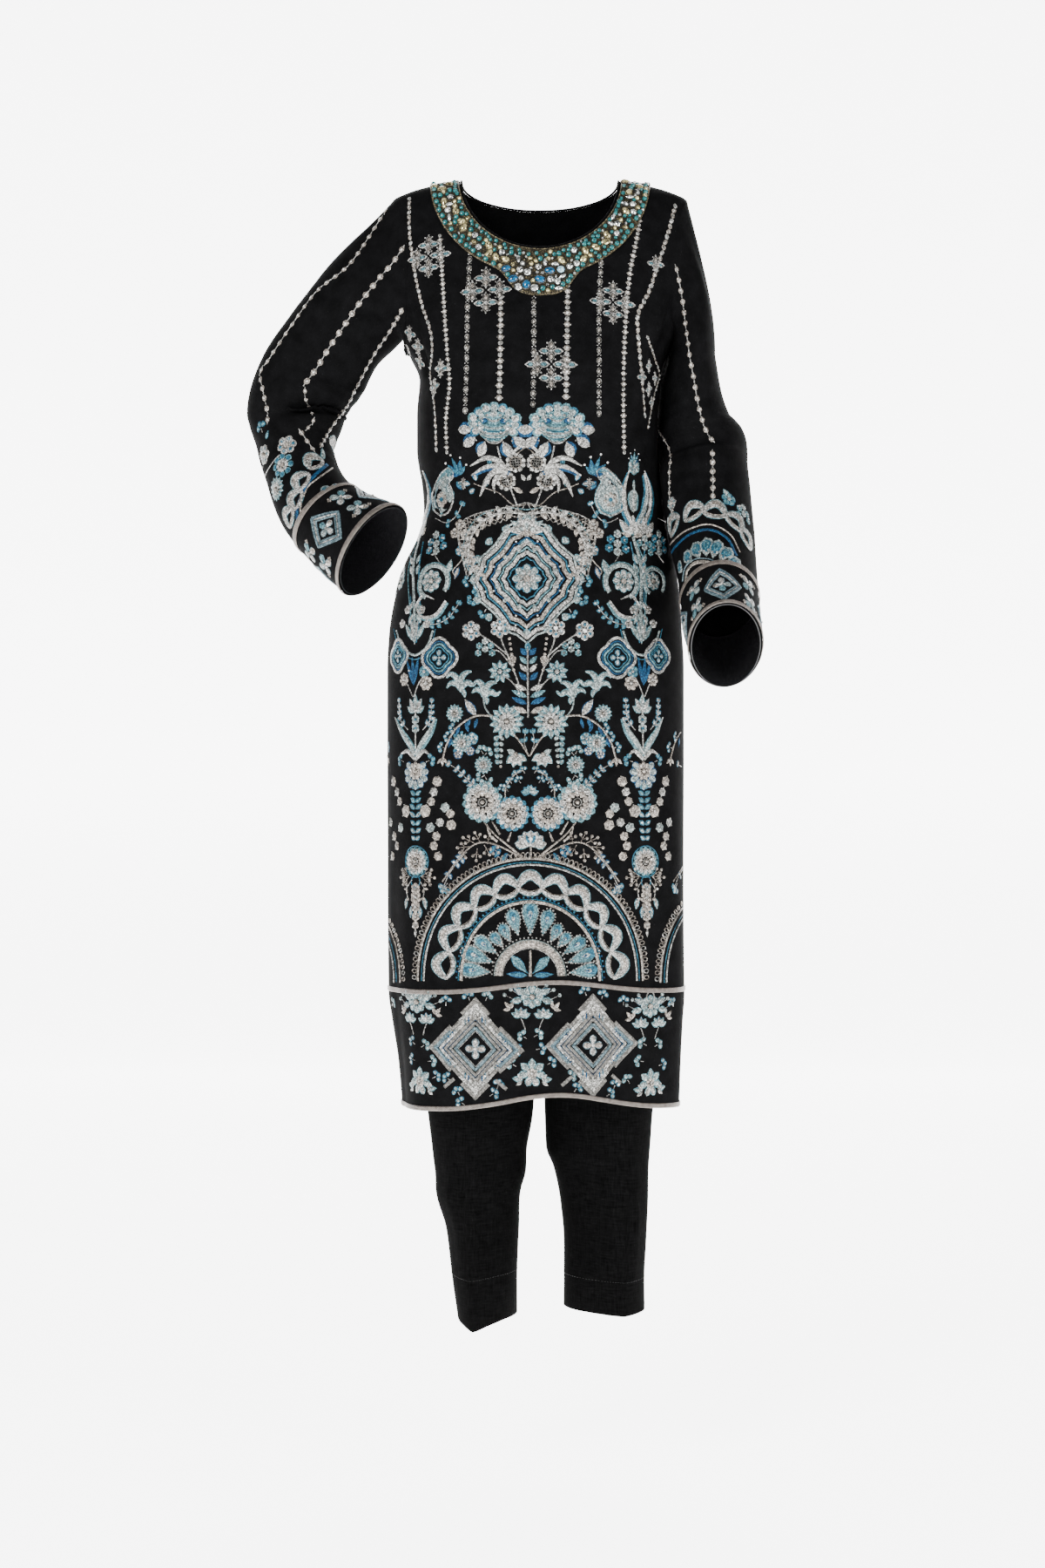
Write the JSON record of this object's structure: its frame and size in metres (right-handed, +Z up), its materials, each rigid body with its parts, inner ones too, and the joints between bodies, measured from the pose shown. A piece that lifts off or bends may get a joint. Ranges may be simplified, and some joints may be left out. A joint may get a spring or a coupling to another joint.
{
  "type": "salwar kameez suit",
  "caption": "Black salwar kameez suit filled out as worn: a knee-length kameez with a beaded round neck, an embroidered front and cuffs, and a bordered hem, over straight trousers.",
  "frame": {"origin": "midway between the two points where the neckline meets the shoulder seams, where the wearer's shoulders hold the kameez up", "axes": "+Z up, -Y the front of the suit, +X the wearer's left"},
  "size_m": [0.5818, 0.3154, 1.3101],
  "materials": {
    "black_chiffon": "matt crepe chiffon",
    "black_suiting": "matt linen-like suiting",
    "black_satin": "glossy satin",
    "silver_braid": "metallic corded braid",
    "beadwork": "cloth covered with glass stones and beads"
  },
  "bodies": {
    "root": {"kameez_front": "black_chiffon", "kameez_back": "black_chiffon", "front_border": "black_chiffon", "neck_patch": "beadwork", "neck_binding": "black_chiffon", "sleeve_right": "black_chiffon", "sleeve_left": "black_chiffon", "cuff_right": "black_chiffon", "cuff_left": "black_chiffon", "cuff_facing_right": "black_satin", "cuff_facing_left": "black_satin", "cuff_braid_upper_right": "silver_braid", "cuff_braid_upper_left": "silver_braid", "cuff_braid_lower_right": "silver_braid", "cuff_braid_lower_left": "silver_braid", "border_braid": "silver_braid", "hem_braid_front": "silver_braid", "hem_braid_back": "silver_braid", "trouser_leg_right": "black_suiting", "trouser_leg_left": "black_suiting", "waistband": "black_suiting"}
  },
  "joints": []
}
